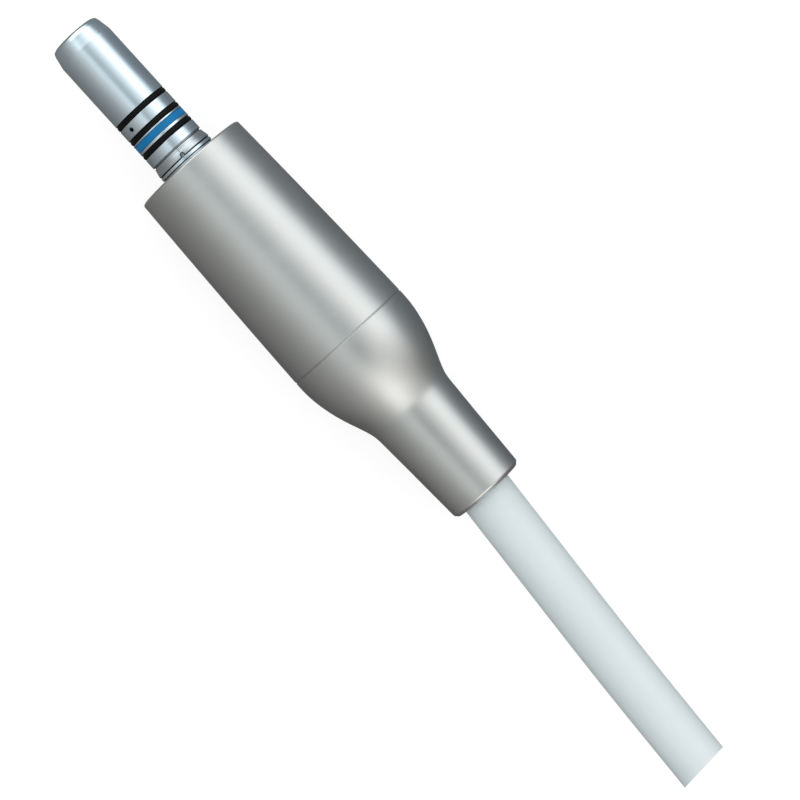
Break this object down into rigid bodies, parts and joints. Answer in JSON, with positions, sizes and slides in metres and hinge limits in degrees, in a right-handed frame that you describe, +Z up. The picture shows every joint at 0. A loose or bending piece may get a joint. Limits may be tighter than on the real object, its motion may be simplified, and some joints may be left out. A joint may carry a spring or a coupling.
{
  "type": "dental electric micromotor",
  "caption": "Dental electric micromotor: ringed quick-connect nose, satin barrel, screw-on tapering coupling sleeve and a cut length of smooth hose.",
  "frame": {"origin": "middle of the bounding box, which lies on the motor's axis, 47.394 mm behind the barrel's flat front face", "axes": "+X along the axis towards the hose (the nose points to -X), +Z up, the hose leans towards -Y"},
  "size_m": [0.1468, 0.021, 0.021],
  "materials": {
    "polished_steel": "polished stainless steel",
    "satin_metal": "fine bead-blasted satin metal",
    "turned_metal": "turned metal, fine tool marks",
    "bearing_steel": "ground steel",
    "lamination_steel": "stacked, varnished laminations",
    "magnet": "nickel-plated magnet",
    "copper_winding": "enamelled copper winding, potted",
    "brass": "turned brass, gold flashed on the contacts",
    "black_rubber": "matt black rubber",
    "blue_plastic": "blue ring, semi-gloss",
    "black_plastic": "moulded black plastic",
    "cage_plastic": "phenolic ball cage",
    "lamp_plastic": "lamp body",
    "lens_glass": "clear polished lens",
    "hose_silicone": "smooth pale blue-grey silicone",
    "blue_tubing": "blue tubing",
    "clear_tubing": "natural tubing",
    "cable_sheath": "dark cable sheath"
  },
  "bodies": {
    "motor": {"coupling_nose": "polished_steel", "oring_front": "black_rubber", "oring_middle": "black_rubber", "oring_rear": "black_rubber", "blue_ring": "blue_plastic", "retaining_ring": "polished_steel", "light_lens": "lens_glass", "light_body": "lamp_plastic", "handle_barrel": "satin_metal", "front_bearing_outer_race": "bearing_steel", "rear_bearing_outer_race": "bearing_steel", "stator_core": "lamination_steel", "stator_coil": "copper_winding", "preload_washer": "bearing_steel", "rear_end_bell": "turned_metal", "water_tube": "bearing_steel", "air_tube": "bearing_steel", "thread_ring": "turned_metal", "connector_block": "black_plastic", "interface_seal": "black_rubber", "contact_pin_1": "brass", "contact_pin_2": "brass", "contact_pin_3": "brass", "contact_pin_4": "brass", "contact_pin_5": "brass"},
    "rotor": {"rotor_shaft": "bearing_steel", "rotor_magnet": "magnet", "rotor_front_ring": "brass", "rotor_rear_ring": "brass", "front_bearing_inner_race": "bearing_steel", "rear_bearing_inner_race": "bearing_steel", "drive_pin": "bearing_steel"},
    "dog": {"drive_dog": "bearing_steel", "drive_spring": "bearing_steel"},
    "front_cage": {"front_bearing_cage": "cage_plastic", "front_bearing_ball_1": "bearing_steel", "front_bearing_ball_2": "bearing_steel", "front_bearing_ball_3": "bearing_steel", "front_bearing_ball_4": "bearing_steel", "front_bearing_ball_5": "bearing_steel", "front_bearing_ball_6": "bearing_steel", "front_bearing_ball_7": "bearing_steel"},
    "rear_cage": {"rear_bearing_cage": "cage_plastic", "rear_bearing_ball_1": "bearing_steel", "rear_bearing_ball_2": "bearing_steel", "rear_bearing_ball_3": "bearing_steel", "rear_bearing_ball_4": "bearing_steel", "rear_bearing_ball_5": "bearing_steel", "rear_bearing_ball_6": "bearing_steel", "rear_bearing_ball_7": "bearing_steel"},
    "sleeve": {"coupling_sleeve": "satin_metal", "snap_ring": "bearing_steel"},
    "plug": {"hose_plug": "turned_metal", "hose_root": "hose_silicone", "hose_ferrule": "bearing_steel"},
    "hose": {"hose_jacket": "hose_silicone", "hose_water_line": "blue_tubing", "hose_air_line": "clear_tubing", "hose_cable": "cable_sheath"}
  },
  "joints": [
    {"name": "rotor_spin", "type": "hinge", "parent": "motor", "child": "rotor", "pos_m": [0, 0, 0], "axis": [1, 0, 0], "continuous": true},
    {"name": "front_cage_spin", "type": "hinge", "parent": "motor", "child": "front_cage", "pos_m": [-0.04199, 0, 0], "axis": [1, 0, 0], "continuous": true},
    {"name": "rear_cage_spin", "type": "hinge", "parent": "motor", "child": "rear_cage", "pos_m": [-0.01849, 0, 0], "axis": [1, 0, 0], "continuous": true},
    {"name": "drive_dog_push", "type": "slide", "parent": "rotor", "child": "dog", "axis": [1, 0, 0], "range_m": [0, 0.0015], "stiffness_N_per_m": 400, "springref_m": -0.0008, "deforming": ["drive_spring"]},
    {"name": "hose_plug_draw", "type": "slide", "parent": "motor", "child": "plug", "axis": [1, 0, 0], "range_m": [0, 0.00375]},
    {"name": "sleeve_unscrew", "type": "hinge", "parent": "plug", "child": "sleeve", "pos_m": [0.00261, 0, 0], "axis": [1, 0, 0], "range_deg": [0, 1080]},
    {"name": "hose_bend", "type": "hinge", "parent": "plug", "child": "hose", "pos_m": [0.01761, -0.00022, 0], "axis": [0, 0, 1], "range_deg": [-15, 15], "stiffness_Nm_per_rad": 0.15}
  ],
  "couplings": [
    {"joint": "front_cage_spin", "follows": "rotor_spin", "ratio": 0.36213},
    {"joint": "rear_cage_spin", "follows": "rotor_spin", "ratio": 0.36213},
    {"joint": "sleeve_unscrew", "follows": "hose_plug_draw", "rad_per_m": 5026.5}
  ]
}
